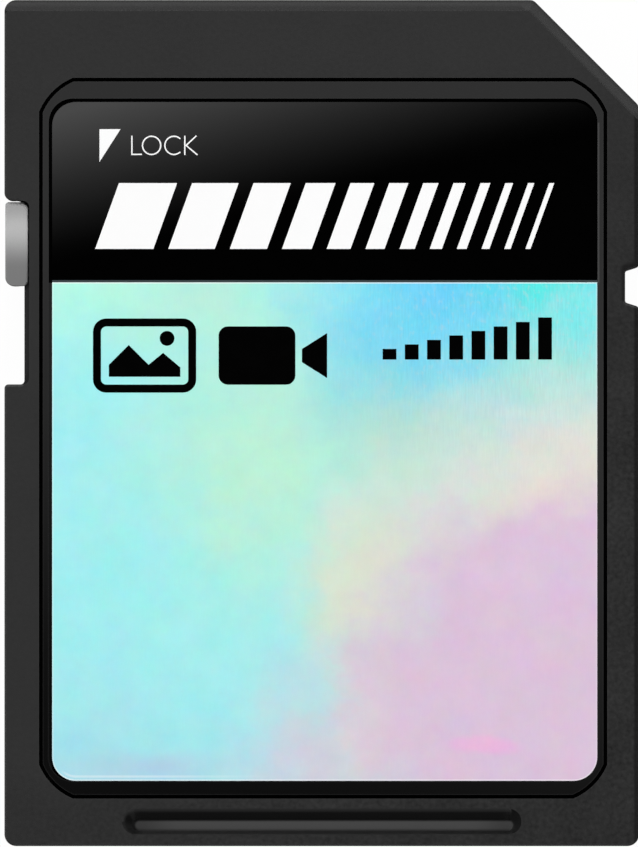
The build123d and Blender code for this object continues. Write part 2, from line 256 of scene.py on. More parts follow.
world = bpy.data.worlds.new("tent")
world.use_nodes = True
bpy.context.scene.world = world
sky = world.node_tree
sky_way = add_node(sky, "TexCoord").outputs["Generated"]
sky_height = axes(sky, sky_way)["Z"]
sky_light = remap(sky, sky_height, *tent_rise, horizon_light, overhead_light)
sky_turn = add_node(sky, "VectorMath", {0: sky_way, 1: bright_side}, operation="DOT_PRODUCT")
sky_facing = sky_turn.outputs["Value"]
above_floor = calc(sky, "GREATER_THAN", sky_height, 0.0)
sky_dimming = both(sky, above_floor, remap(sky, sky_facing, *dim_facing, 1.0 - dim_share, 0.0))
sky_strength = calc(sky, "MULTIPLY", sky_light, calc(sky, "SUBTRACT", 1.0, sky_dimming))
sky_seen = add_node(sky, "LightPath").outputs["Is Camera Ray"]
sky_strength = calc(sky, "MAXIMUM", sky_strength, sky_seen)
sky.nodes["Background"].inputs["Color"].default_value = grey(255)
feed(sky, sky.nodes["Background"].inputs["Strength"], sky_strength)
print("sky: horizon", horizon_light, "overhead", overhead_light)

# %% [markdown]
# ## Lamps
# Two soft lamps from beyond the contact end, one to the left and one to the right, do most of the work
# and pick out the leading bevel and the one at the cut corner. Weak ones at the left and at the rear keep
# the far sides from going black. They add up to a plain level, at which a colour comes out about as it is
# written.

# %% Lamps
lamp_size = 0.16


def soft_lamp(name, place, power):
    """A square lamp that faces the middle of the card, and that the camera doesn't see."""
    lamp = bpy.data.lights.new(name, "AREA")
    lamp.size = lamp_size
    lamp.energy = power
    holder = bpy.data.objects.new(name, lamp)
    holder.location = place
    holder.rotation_euler = Vector(place).to_track_quat("Z", "Y").to_euler()
    holder.visible_camera = False
    bpy.context.scene.collection.objects.link(holder)
    return holder


lamps = [
    soft_lamp("front_lamp", (-0.06, 0.32, 0.26), 0.97),
    soft_lamp("corner_lamp", (0.20, 0.24, 0.26), 0.66),
    soft_lamp("side_lamp", (-0.30, -0.02, 0.20), 0.29),
    soft_lamp("rear_lamp", (0.06, -0.26, 0.30), 0.44),
]
print("lamps:", [lamp.name for lamp in lamps])

# %% [markdown]
# ## Floor
# The card lies on a white sheet. A square a hair below the card is enough. It throws no light back on the
# card and no shadow, because the tent and the lamps already make the light of the picture.

# %% Floor
floor_size = 4.0
floor_drop = 0.02 * MM

half_floor = floor_size / 2
floor_corners = [(x, y, 0) for x, y in ((-1, -1), (1, -1), (1, 1), (-1, 1))]
floor_mesh = bpy.data.meshes.new("floor")
floor_mesh.from_pydata([Vector(corner) * half_floor for corner in floor_corners], [], [(0, 1, 2, 3)])
floor = bpy.data.objects.new("floor", floor_mesh)
floor.location.z = card_low.z - floor_drop
floor.visible_diffuse = False
floor.visible_shadow = False
bpy.context.scene.collection.objects.link(floor)
print("floor at z, mm:", round(floor.location.z / MM, 3))

# %% [markdown]
# ## White paper
# A plain white sheet goes grey close to a dark thing, so most of its white is its own light, for the camera
# and for reflections only, and just a trace of the card's shadow is left. It is seen from above alone, so
# that the back of the card can be looked at through it.

# %% White paper
floor_glow = 0.975

paper = bpy.data.materials.new("pale_paper")
paper.use_nodes = True
sheet = paper.node_tree
paper_shader = sheet.nodes["Principled BSDF"]
paper_shader.inputs["Roughness"].default_value = 0.9
paper_shader.inputs["Specular IOR Level"].default_value = 0.0
paper_grain = add_node(sheet, "TexNoise", {"Scale": 900.0, "Detail": 3.0}).outputs[0]
feed(sheet, paper_shader.inputs["Base Color"], mix_colours(sheet, paper_grain, grey(252), grey(255)))
ray = add_node(sheet, "LightPath").outputs
seen = either(sheet, ray["Is Camera Ray"], ray["Is Glossy Ray"], ray["Is Transmission Ray"])
glow = add_node(sheet, "Emission", {"Color": grey(255), "Strength": 1.0})
lit_paper = add_node(sheet, "MixShader", {"Fac": calc(sheet, "MULTIPLY", seen, floor_glow)})
sheet.links.new(paper_shader.outputs[0], lit_paper.inputs[1])
sheet.links.new(glow.outputs[0], lit_paper.inputs[2])
from_below = add_node(sheet, "NewGeometry").outputs["Backfacing"]
one_sided = add_node(sheet, "MixShader", {"Fac": from_below})
sheet.links.new(lit_paper.outputs[0], one_sided.inputs[1])
sheet.links.new(add_node(sheet, "BsdfTransparent").outputs[0], one_sided.inputs[2])
sheet.links.new(one_sided.outputs[0], sheet.nodes["Material Output"].inputs["Surface"])
floor_mesh.materials.append(paper)
print("finish:", paper.name)

# %% [markdown]
# ## Shared effects
# Some effects come back in several finishes. Copying their nodes into each would work, but a change would
# then have to be made everywhere, so each effect is a node group with named sockets, made once and placed
# in every finish with its own values. These two helpers make a group and place it.

# %% Group helpers
def new_group(name, inputs, outputs):
    """An empty shader group with its sockets. Returns the group, its inlet and its outlet."""
    group = bpy.data.node_groups.new(name, "ShaderNodeTree")
    for label, kind, value in inputs:
        socket = group.interface.new_socket(label, in_out="INPUT", socket_type="NodeSocket" + kind)
        socket.default_value = value
    for label, kind in outputs:
        group.interface.new_socket(label, in_out="OUTPUT", socket_type="NodeSocket" + kind)
    inlet = group.nodes.new("NodeGroupInput")
    outlet = group.nodes.new("NodeGroupOutput")
    return group, inlet.outputs, outlet.inputs


def use_group(tree, group, inputs):
    """Place a shared effect in a finish, with its own values."""
    node = tree.nodes.new("ShaderNodeGroup")
    node.node_tree = group
    for name, value in inputs.items():
        feed(tree, node.inputs[name], value)
    return node.outputs


print("groups so far:", len(bpy.data.node_groups))

# %% [markdown]
# ## Moulded grain
# Injection tools are spark eroded, which leaves a fine skin on the plastic. Seen close, it is a mottle of
# tone and gloss with a small relief. Noise at two sizes gives it: specks of the grain size, and clouds of
# them.

# %% Moulded grain
moulded_grain, grain_in, grain_out = new_group(
    "moulded_grain",
    [
        ("Color", "Color", grey(50)),
        ("Grain Size", "Float", 0.1),
        ("Tone", "Float", 0.1),
        ("Roughness", "Float", 0.5),
    ],
    [("Color", "Color"), ("Roughness", "Float"), ("Height", "Float")],
)
cloud_size = 14.0
cloud_share = 0.6
roughness_swing = 0.3

grain_place = blend_vectors(moulded_grain, "DIVIDE", place_mm(moulded_grain), grain_in["Grain Size"])
speck_values = {"Vector": grain_place, "Scale": 1.0, "Detail": 3.0}
specks = add_node(moulded_grain, "TexNoise", speck_values).outputs[0]
cloud_values = {"Vector": grain_place, "Scale": 1 / cloud_size, "Detail": 4.0}
clouds = add_node(moulded_grain, "TexNoise", cloud_values).outputs[0]
grain_sum = calc(moulded_grain, "MULTIPLY_ADD", clouds, cloud_share, specks)
grain_swing = calc(moulded_grain, "SUBTRACT", grain_sum, (1 + cloud_share) / 2)
grain_reach = calc(moulded_grain, "MULTIPLY", grain_in["Tone"], 2.0)
grain_gain = calc(moulded_grain, "MULTIPLY_ADD", grain_swing, grain_reach, 1.0)
feed(moulded_grain, grain_out["Color"], scale_vector(moulded_grain, grain_in["Color"], grain_gain))
grain_gloss = calc(moulded_grain, "MULTIPLY", grain_swing, roughness_swing / 2)
feed(moulded_grain, grain_out["Roughness"], calc(moulded_grain, "ADD", grain_gloss, grain_in["Roughness"]))
feed(moulded_grain, grain_out["Height"], specks)
print("group:", moulded_grain.name)

# %% [markdown]
# ## Worn and lit edge
# Plastic polishes where hands and sockets touch it, and an edge catches light in any case, so edges are
# painted paler, part wear and part painted highlight. The Bevel node gives the normal that a rounded edge
# would have, and where that differs from the true normal there is an edge.

# %% Worn and lit edge
flat_match, edge_match_full = 0.99, 0.75

worn_and_lit_edge, edge_in, edge_out = new_group("worn_and_lit_edge", [("Reach", "Float", 0.1)], [("Mask", "Float")])
edge_reach = calc(worn_and_lit_edge, "MULTIPLY", edge_in["Reach"], MM)
edge_soft = add_node(worn_and_lit_edge, "Bevel", {"Radius": edge_reach}, samples=6).outputs[0]
edge_true = add_node(worn_and_lit_edge, "NewGeometry").outputs["Normal"]
edge_match = add_node(worn_and_lit_edge, "VectorMath", {0: edge_soft, 1: edge_true}, operation="DOT_PRODUCT")
edge_mask = rise(worn_and_lit_edge, edge_match.outputs["Value"], flat_match, edge_match_full)
feed(worn_and_lit_edge, edge_out["Mask"], edge_mask)
print("group:", worn_and_lit_edge.name)

# %% [markdown]
# ## Streaks
# Drawn foil and wiped contacts show fine lines that all run one way. Noise that is stretched along Y
# gives them, with a width and a length in millimetres.

# %% Streaks
streaks, streak_in, streak_out = new_group(
    "streaks", [("Width", "Float", 0.1), ("Length", "Float", 3.0)], [("Fac", "Float")]
)
streak_inputs = {"X": streak_in["Width"], "Y": streak_in["Length"], "Z": 1.0}
streak_size = add_node(streaks, "CombineXYZ", streak_inputs).outputs[0]
streak_place = blend_vectors(streaks, "DIVIDE", place_mm(streaks), streak_size)
streak_noise = add_node(streaks, "TexNoise", {"Vector": streak_place, "Scale": 1.0, "Detail": 3.0})
feed(streaks, streak_out["Fac"], streak_noise.outputs["Fac"])
print("group:", streaks.name)

# %% [markdown]
# ## Soft field
# An oval patch that fades towards its edge serves for the colour clouds of the foil and for sheen on ink.
# The distance from the patch's centre, measured in its two reaches, is turned into a mask.

# %% Soft field
soft_field, field_in, field_out = new_group(
    "soft_field",
    [
        ("Place", "Vector", (0, 0, 0)),
        ("Centre", "Vector", (0, 0, 0)),
        ("Reach", "Vector", (1, 1, 1)),
        ("Turn", "Float", 0.0),
        ("Core", "Float", 0.0),
    ],
    [("Mask", "Float")],
)
field_offset = blend_vectors(soft_field, "SUBTRACT", field_in["Place"], field_in["Centre"])
field_turned = add_node(
    soft_field, "VectorRotate", {"Vector": field_offset, "Angle": field_in["Turn"]}, rotation_type="Z_AXIS"
).outputs[0]
field_ratio = blend_vectors(soft_field, "DIVIDE", field_turned, field_in["Reach"])
field_flat = blend_vectors(soft_field, "MULTIPLY", field_ratio, (1, 1, 0))
field_away = add_node(soft_field, "VectorMath", {0: field_flat}, operation="LENGTH").outputs["Value"]
feed(soft_field, field_out["Mask"], fall(soft_field, field_away, field_in["Core"], 1.0))
print("shared effects:", [group.name for group in bpy.data.node_groups])

# %% [markdown]
# ## Starting a finish
# Each finish is a material with one Principled shader. Relief always goes through a Bump node, whose
# distance is given in millimetres, so that it stays true to the size of the card. Several finishes are
# plain grained stuff, and one function makes them all.

# %% Finish helpers
def new_finish(name):
    """A material with its tree and its one shader."""
    material = bpy.data.materials.new(name)
    material.use_nodes = True
    return material, material.node_tree, material.node_tree.nodes["Principled BSDF"]


def raise_relief(tree, shader, height, depth):
    """Feed a height map to the shader as relief of the given depth in millimetres."""
    bump = add_node(tree, "Bump", {"Height": height, "Distance": depth * MM, "Strength": 1.0})
    tree.links.new(bump.outputs[0], shader.inputs["Normal"])


def grained_finish(name, colour, size, tone, roughness, depth):
    """A finish with the moulded grain in its colour, its roughness and its relief."""
    material, tree, shader = new_finish(name)
    grain_values = {"Color": colour, "Grain Size": size, "Tone": tone, "Roughness": roughness}
    grain = use_group(tree, moulded_grain, grain_values)
    feed(tree, shader.inputs["Base Color"], grain["Color"])
    feed(tree, shader.inputs["Roughness"], grain["Roughness"])
    raise_relief(tree, shader, grain["Height"], depth)
    return material, tree, shader, grain


print("materials so far:", len(bpy.data.materials))

# %% [markdown]
# ## Moulded case
# Both shells are charcoal plastic with a fine matt grain. Gradients along X and Y paint it a shade
# darker on the right and at the rear end, which is painted shade, and there handling has made its mottle
# stronger. One colour with one grain would look like a drawing. The plastic is one moulding, and the
# ledge, the grooves and the bevels of the next steps aren't pieces of their own: the finish finds each by
# where it lies on the card.

# %% Case skin
case_lit_and_shaded_greys = grey(40), grey(35)
shade_start, shade_full = 1.5, 6.0
rear_start, rear_full, rear_share = 3.0, 1.0, 0.87
mottle_range = 0.03, 0.78
handled_slant = 1.15
handled_range = -3.0, 16.0
case_grain_size = 0.16

case_plastic, case, case_shader = new_finish("case_plastic")
case_x, case_y, case_z = axes(case, place_mm(case))
half_width, half_length = card_high.x / MM, card_high.y / MM
face_level = card_high.z / MM

# Painted shade: the case's grey darkens towards the right and towards the rear end.
across = rise(case, case_x, -half_width, half_width)
shade_behind_front = rise(case, case_y, half_length - shade_start, half_length - shade_full)
case_grey = mix_colours(case, both(case, across, shade_behind_front), *case_lit_and_shaded_greys)
case_rear_shade = fall(case, case_y, rear_start - half_length, rear_full - half_length, rear_share)
case_grey = scale_vector(case, case_grey, case_rear_shade)
handled = calc(case, "SUBTRACT", calc(case, "MULTIPLY", case_x, handled_slant), case_y)
case_mottle = remap(case, handled, *handled_range, *mottle_range)
case_grain = use_group(
    case,
    moulded_grain,
    {"Color": case_grey, "Grain Size": case_grain_size, "Tone": case_mottle, "Roughness": 0.5},
)
case_tone = case_grain["Color"]
print("case half sizes, mm:", round(half_width, 2), round(half_length, 2))

# %% [markdown]
# ## Ledge round the label
# A smooth ledge, a hair below the face, frames the label. Its tone is a painted reflection of the room:
# as pale as the face near the lamps and almost black at the rear left. The fine groove round it is too
# narrow to let light out again, and is painted black as painted shade. Both lie in one rectangle less the
# cut corner, and depth tells them apart.

# %% Ledge and its groove
ledge_side, ledge_front, ledge_rear, ledge_shift = 1.26, 2.95, 1.8, 0.05
ledge_drop = 0.03
level_slack = 0.012
outline_floor = 1.8
corner_cut, corner_margin = 4.0, 0.9
ledge_reflection_tones = grey(47), grey(13)
ledge_slant = 0.35
ledge_pale, ledge_dark = 6.5, -15.5

ledge_level = face_level - ledge_drop
ledge_half = half_width - ledge_side
corner_line = half_width + half_length - corner_cut
diagonal = calc(case, "ADD", case_x, case_y)
over_ledge = both(
    case,
    within(case, case_x, ledge_shift - ledge_half, ledge_shift + ledge_half),
    within(case, case_y, ledge_rear - half_length, half_length - ledge_front),
    calc(case, "LESS_THAN", diagonal, corner_line - corner_margin),
)
at_ledge = within(case, case_z, ledge_level - level_slack, ledge_level + level_slack)
below_ledge = within(case, case_z, outline_floor, ledge_level - level_slack)
on_ledge = both(case, over_ledge, at_ledge)
in_outline = both(case, over_ledge, below_ledge)
# Painted reflection: the ledge's tone runs from pale at the front right to nearly black at the rear left.
ledge_reflection_way = calc(case, "MULTIPLY_ADD", case_x, ledge_slant, case_y)
ledge_reflection_tone = mix_colours(case, rise(case, ledge_reflection_way, ledge_pale, ledge_dark), *ledge_reflection_tones)
print("ledge level, mm:", round(ledge_level, 3))

# %% [markdown]
# ## Gap and glint
# The label has a little play in its pocket. The gap that this leaves on its left is painted black beside
# the header, as painted shade, and beside the foil it takes the ledge's painted reflection. Along the right
# of the header a fine pale line is painted on the inner edge of the ledge, a painted highlight of a lamp.
# Both are thin strips, found by their place along X and Y.

# %% Gap and glint
gap_width = 0.15
glint_tone = grey(68)
glint_place, glint_core, glint_reach = 10.455, 0.015, 0.06
header_side = 5.3, 11.35

label_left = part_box("front_label")[0].x / MM
beside_foil = both(
    case,
    within(case, case_x, label_left - gap_width, label_left),
    within(case, case_y, ledge_rear - half_length, header_side[0]),
)
# Beside the foil the gap takes the ledge's painted reflection; beside the header it keeps painted black.
in_gap = both(case, in_outline, beside_foil)
in_outline = calc(case, "SUBTRACT", in_outline, in_gap)
on_ledge = either(case, on_ledge, in_gap)
# Painted highlight: a fine pale line on the ledge beside the header.
on_glint = both(
    case,
    fall(case, apart(case, case_x, glint_place), glint_core, glint_reach),
    within(case, case_y, *header_side),
)
ledge_reflection_tone = mix_colours(case, on_glint, ledge_reflection_tone, glint_tone)
case_tone = mix_colours(case, on_ledge, case_tone, ledge_reflection_tone)
print("label starts at X, mm:", round(label_left, 2))

# %% [markdown]
# ## Finger groove
# A nail catches in this groove to pull the card out. Its walls are painted in light and shade. The long
# front slope faces away from the light: it is painted pale at its lip and nearly black from a little below
# it. The short rear one is painted grey, and the right end is painted black up to its lip. Depth and place
# give these tones to the walls.

# %% Finger groove
groove_length, groove_width, groove_inset, groove_depth = 15.1, 0.98, 0.93, 0.28
groove_lit_lip, groove_shade_black = grey(46), grey(2)
lip_slack = 0.002
black_depth = 0.4 * groove_depth
rear_wall_share = 0.8
end_start, end_full = 0.44, 0.34

groove_y = groove_inset - half_length
groove_end = groove_length / 2
groove_floor = face_level - groove_depth
over_groove = both(
    case,
    within(case, case_x, -groove_end, groove_end),
    within(case, case_y, groove_y - groove_width / 2, groove_y + groove_width / 2),
    within(case, case_z, groove_floor - level_slack, face_level - lip_slack),
)
rear_wall = calc(case, "LESS_THAN", case_y, groove_y)
right_end = rise(case, case_x, groove_end - end_start, groove_end - end_full)
# Painted shade: the walls darken with depth, the rear slope and the right end most.
wall_painted_shade = either(
    case,
    rise(case, case_z, face_level, face_level - black_depth),
    calc(case, "MULTIPLY", rear_wall, rear_wall_share),
    right_end,
)
groove_tone = mix_colours(case, wall_painted_shade, groove_lit_lip, groove_shade_black)
print("groove along Y, mm:", round(groove_y, 2))

# %% [markdown]
# ## Floor of the groove
# The floor of the groove faces up to the light and is painted its palest part, a painted highlight, a
# little darker towards both ends. The distance from a line along it gives the tone, so that the pale strip
# has round ends, and on the slopes only a trace of it is left.

# %% Floor of the groove
groove_floor_light = grey(70)
pale_half, pale_shift, pale_offset = 7.0, 0.12, 0.15
pale_core, pale_reach = 0.11, 0.24
pale_climb_end, pale_spill = 0.05, 0.2
pale_fade_start, pale_fade_end, pale_end_share = 5.4, 7.3, 0.62

pale_aside = apart(case, case_x, pale_shift)
pale_across = calc(case, "SUBTRACT", case_y, groove_y - pale_offset)
pale_away = flat_distance(case, beyond(case, pale_aside, pale_half), pale_across)
pale_top = groove_floor + pale_climb_end
# Painted light: the floor of the groove is painted pale where it faces up.
floor_light_mask = both(
    case,
    fall(case, pale_away, pale_core, pale_reach),
    fall(case, case_z, groove_floor + level_slack, pale_top, pale_spill),
    fall(case, pale_aside, pale_fade_start, pale_fade_end, pale_end_share),
)
groove_tone = mix_colours(case, floor_light_mask, groove_tone, groove_floor_light)
case_tone = mix_colours(case, over_groove, case_tone, groove_tone)
print("pale floor, mm:", 2 * pale_half)

# %% [markdown]
# ## Bevels
# The leading edge and the cut corner are bevelled, so that the card finds its way into a socket. They face
# the lamps and would come out far paler than the face, so their tone is painted in light and shade: it
# starts dark at the face, grows down the slope into a painted highlight and falls again where the bevel
# turns into the wall. At the corner it grows at once, and at the leading edge only halfway down.

# %% Bevels
bevel_run, bevel_drop = 0.42, 0.28
front_zone, corner_zone = 1.2 * bevel_run, 1.6 * bevel_run
bevel_slack = 0.004
bevel_shade_and_highlight = grey(5), grey(29)
front_rise, front_fall = (0.25, 0.7), (0.7, 0.88)
corner_rise, corner_fall, corner_rest = (0.0, 0.18), (0.55, 0.95), 0.1

near_front = calc(case, "GREATER_THAN", case_y, half_length - front_zone)
near_corner = calc(case, "GREATER_THAN", diagonal, corner_line - corner_zone)
below_face = within(case, case_z, face_level - bevel_drop - level_slack, face_level - bevel_slack)
on_bevel = both(case, either(case, near_front, near_corner), below_face)
bevel_down = remap(case, case_z, face_level, face_level - bevel_drop, 0.0, 1.0, "LINEAR")
front_share = both(
    case,
    rise(case, bevel_down, *front_rise),
    fall(case, bevel_down, *front_fall),
)
corner_share = both(
    case,
    rise(case, bevel_down, *corner_rise),
    fall(case, bevel_down, *corner_fall, corner_rest),
)
corner_gain = calc(case, "SUBTRACT", corner_share, front_share)
bevel_share = calc(case, "MULTIPLY_ADD", near_corner, corner_gain, front_share)
# Painted light and shade: dark at the face and the wall, with a painted highlight band between.
bevel_painted_tone = mix_colours(case, bevel_share, *bevel_shade_and_highlight)
case_tone = mix_colours(case, on_bevel, case_tone, bevel_painted_tone)
print("bevel drop, mm:", bevel_drop)

# %% [markdown]
# ## Edges and rims
# Edges are a little paler than the rest, partly wear where hands and sockets rub them and partly a
# painted highlight, which the edge group finds by itself. The right-hand edge and the rim of the notch in
# it turn away from the lamps, so they get a painted dark line of shade, wider ahead of the notch than
# behind it. The outline round the ledge gets its painted black after the pale edges, which would pale it.

# %% Edges and rims
edge_tone, edge_strength = grey(66), 0.25
rim_shade_tone, rim_strength = grey(6), 0.9
rim_width, rim_fade, rim_lead, rim_depth = 0.24, 0.2, 0.125, 0.1
right_rim_full = 0.14
latch_middle, latch_half, latch_depth, latch_slope = 5.145, 0.755, 0.53, 0.32

# Paler edges: part wear, part painted highlight.
case_edge = use_group(case, worn_and_lit_edge, {"Reach": 0.1})["Mask"]
case_tone = mix_colours(case, calc(case, "MULTIPLY", case_edge, edge_strength), case_tone, edge_tone)
# Painted shade: the outline round the ledge and the gap beside the header are painted black.
case_tone = mix_colours(case, in_outline, case_tone, grey(1))

# Painted shade: a dark line along the right-hand edge and round the latch notch.
latch_away = apart(case, case_y, latch_middle + rim_lead)
latch_reach = latch_half + rim_width - latch_slope * half_width
latch_reach = calc(case, "MULTIPLY_ADD", case_x, latch_slope, latch_reach)
latch_inside = calc(case, "SUBTRACT", latch_reach, latch_away)
latch_start = half_width - latch_depth - rim_width
near_latch = both(
    case,
    rise(case, latch_inside, 0.0, rim_fade),
    rise(case, case_x, latch_start, latch_start + rim_fade),
)
right_rim = rise(case, case_x, half_width - rim_width, half_width - right_rim_full)
at_top = calc(case, "GREATER_THAN", case_z, face_level - rim_depth)
on_shaded_rim = both(case, either(case, near_latch, right_rim), at_top)
case_tone = mix_colours(case, calc(case, "MULTIPLY", on_shaded_rim, rim_strength), case_tone, rim_shade_tone)
print("rim width, mm:", rim_width)

# %% [markdown]
# ## Gloss of the case
# The grain decides how rough the outside is. The ledge and its outline come from a polished part of the
# tool and are smooth, and so is the front slope of the finger groove. Its rear slope and its left end are
# half smooth, and its right end is dull. None of them has relief, and the bevels have little.

# %% Gloss of the case
polished_roughness = 0.2
end_polish, end_dullness = 0.6, 0.4
polish_start, polish_end = 0.9, 0.3
bevel_smooth = 0.6
grain_depth = 0.016
least_relief = 0.35

groove_aside = calc(case, "ABSOLUTE", case_x)
groove_polish = fall(case, groove_aside, groove_end - polish_start, groove_end - polish_end, end_polish)
groove_polish = calc(case, "SUBTRACT", groove_polish, calc(case, "MULTIPLY", rear_wall, 1.0 - end_polish))
groove_polish = calc(case, "SUBTRACT", groove_polish, right_end)
polished = either(case, on_ledge, in_outline, both(case, over_groove, groove_polish))
smooth_bevel = calc(case, "MULTIPLY", on_bevel, bevel_smooth)
grained = calc(case, "SUBTRACT", 1.0, either(case, polished, over_groove, smooth_bevel))
case_rough = remap(case, polished, 0.0, 1.0, case_grain["Roughness"], polished_roughness)
dull_end = both(case, over_groove, right_end)
case_rough = calc(case, "MULTIPLY_ADD", dull_end, end_dullness, case_rough)
feed(case, case_shader.inputs["Base Color"], case_tone)
feed(case, case_shader.inputs["Roughness"], case_rough)
case_shader.inputs["Specular IOR Level"].default_value = 0.25
grain_share = remap(case, case_mottle, *mottle_range, least_relief, 1.0, "LINEAR")
case_relief = both(case, grained, grain_share, case_grain["Height"])
raise_relief(case, case_shader, case_relief, grain_depth)
print("finish:", case_plastic.name)

# %% [markdown]
# ## Lock slider
# The slider is light grey acetal, satin and slightly waxy. Its crown is pale where it faces the light. Its
# rear third and its tip are painted darker, painted shade where the crown turns away from the light, and
# its edges paler, part wear and part painted highlight. Gradients along Y give the shade, over the same
# grain group as the case, finer and paler.

# %% Slider plastic
rear_shade_start, rear_shade_full = 1.0, 2.5
lead_start, lead_full, lead_share = 0.95, 0.2, 0.6
slider_edge_share = 0.25

slider_plastic, slider, slider_shader, slider_grain = grained_finish(
    "slider_plastic", grey(178), size=0.06, tone=0.05, roughness=0.42, depth=0.004
)
slider_shader.inputs["Specular IOR Level"].default_value = 0.3
slider_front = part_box("lock_slider")[1].y / MM
slider_along = axes(slider, place_mm(slider))["Y"]
# Painted shade: the rear third and the tip of the slider are painted darker.
slider_rear_shade = rise(slider, slider_along, slider_front - rear_shade_start, slider_front - rear_shade_full)
slider_tone = mix_colours(slider, slider_rear_shade, slider_grain["Color"], grey(122))
slider_tip_shade = rise(slider, slider_along, slider_front - lead_start, slider_front - lead_full, lead_share)
slider_tone = mix_colours(slider, slider_tip_shade, slider_tone, grey(140))
# Paler edges: part wear, part painted highlight.
slider_edge = use_group(slider, worn_and_lit_edge, {"Reach": 0.1})["Mask"]
slider_edge = calc(slider, "MULTIPLY", slider_edge, slider_edge_share)
slider_tone = mix_colours(slider, slider_edge, slider_tone, grey(215))
feed(slider, slider_shader.inputs["Base Color"], slider_tone)
print("finish:", slider_plastic.name)

# %% [markdown]
# ## Label foil
# The lower part of the label is pearl foil, which splits light into pale colours that drift slowly across
# it. A thin-film shader would change with the view. Soft fields of colour over a cyan ground stay put and
# look the same in any renderer, bent by noise so that no edge looks drawn. Two small streaks near the rear
# are almost straight.

# %% Foil fields
foil_ground = shade(163, 239, 241)
foil_fields = [
    # colour, centre and reach in mm, turn in degrees, core and strength
    (shade(182, 252, 228), (-9.0, 5.6), (6.4, 4.5), 0, 0.0, 0.9),
    (shade(188, 240, 218), (-4.2, 4.4), (5.6, 3.8), 0, 0.0, 0.8),
    (shade(188, 241, 216), (-2.3, -1.4), (7.2, 9.4), 24, 0.0, 1.0),
    (shade(156, 240, 241), (-6.6, -5.4), (4.6, 4.0), 0, 0.0, 0.7),
    (shade(138, 217, 230), (2.0, 2.4), (3.4, 2.8), 0, 0.0, 0.6),
    (shade(100, 209, 248), (5.0, 5.8), (8.2, 8.8), 0, 0.0, 1.0),
    (shade(76, 236, 229), (8.6, 5.6), (4.4, 3.4), 0, 0.0, 0.85),
    (shade(168, 230, 216), (8.6, 2.2), (5.6, 3.4), 0, 0.0, 0.7),
    (shade(168, 216, 214), (3.2, 0.3), (6.5, 3.0), 0, 0.0, 0.6),
    (shade(229, 223, 214), (9.8, -2.2), (12.0, 5.4), -14, 0.1, 1.0),
    (shade(204, 228, 204), (3.6, -0.9), (4.0, 3.0), 0, 0.0, 0.6),
    (shade(219, 229, 209), (1.7, -5.8), (3.8, 5.6), 16, 0.1, 1.0),
    (shade(226, 210, 215), (4.6, -4.9), (3.6, 3.0), 0, 0.0, 0.8),
    (shade(214, 206, 222), (-0.4, -13.2), (4.6, 6.4), 0, 0.0, 0.9),
    (shade(220, 212, 217), (2.4, -10.6), (2.8, 5.4), 0, 0.2, 1.0),
    (shade(221, 196, 220), (10.7, -10.2), (10.6, 8.9), 0, 0.66, 1.0),
    (shade(168, 222, 236), (-9.4, -13.6), (9.0, 5.6), 0, 0.0, 0.8),
]
straight_fields = [
    (shade(238, 185, 224), (6.1, -12.2), (1.8, 0.5), 0, 0.35, 0.8),
    (shade(182, 202, 229), (-6.2, -13.1), (4.6, 0.9), 0, 0.0, 0.6),
]
drift_size = 2.4
drift_reach, straight_reach = 4.0, 0.6
noise_middle = (0.5, 0.5, 0.5)

label_foil, foil, foil_shader = new_finish("label_foil")
foil_place = place_mm(foil)
drift_values = {"Vector": foil_place, "Scale": 1 / drift_size, "Detail": 5.0, "Roughness": 0.62}
foil_drift = add_node(foil, "TexNoise", drift_values)
foil_swing = blend_vectors(foil, "SUBTRACT", foil_drift.outputs["Color"], noise_middle)
foil_tone = foil_ground
for fields, bend in ((foil_fields, drift_reach), (straight_fields, straight_reach)):
    bent_place = blend_vectors(foil, "ADD", foil_place, scale_vector(foil, foil_swing, bend))
    for colour, centre, reach, turn, core, strength in fields:
        field_values = {"Place": bent_place, "Centre": (*centre, 0), "Reach": (*reach, 1)}
        field_values |= {"Turn": radians(turn), "Core": core}
        field_mask = use_group(foil, soft_field, field_values)["Mask"]
        foil_tone = mix_colours(foil, calc(foil, "MULTIPLY", field_mask, strength), foil_tone, colour)
print("foil fields:", len(foil_fields), "and", len(straight_fields))

# %% [markdown]
# ## Foil texture
# Seen close, the colours are cloudy: every patch of about a millimetre leans a little to red, green or
# blue, which coloured noise gives in one step. Towards the front right the foil also shows fine upright
# drawing marks, paler and darker than the rest, and a few grey specks. Both come from the streaks group,
# inside a soft field of their own.

# %% Foil texture
mottle_size, mottle_share = 1.3, 0.18
drawn_centre, drawn_reach, drawn_range = (7.5, 4.5, 0), (11.0, 9.5, 1), (0.04, 0.3)
speck_colour = shade(214, 216, 216)
speck_start, speck_full, speck_strength, speck_least = 0.5, 0.75, 0.3, 0.15

mottle_values = {"Vector": foil_place, "Scale": 1 / mottle_size, "Detail": 6.0, "Roughness": 0.66}
foil_mottle = add_node(foil, "TexNoise", mottle_values)
mottle_tint = blend_vectors(foil, "SUBTRACT", foil_mottle.outputs["Color"], noise_middle)
foil_tone = blend_vectors(foil, "ADD", foil_tone, scale_vector(foil, mottle_tint, mottle_share))

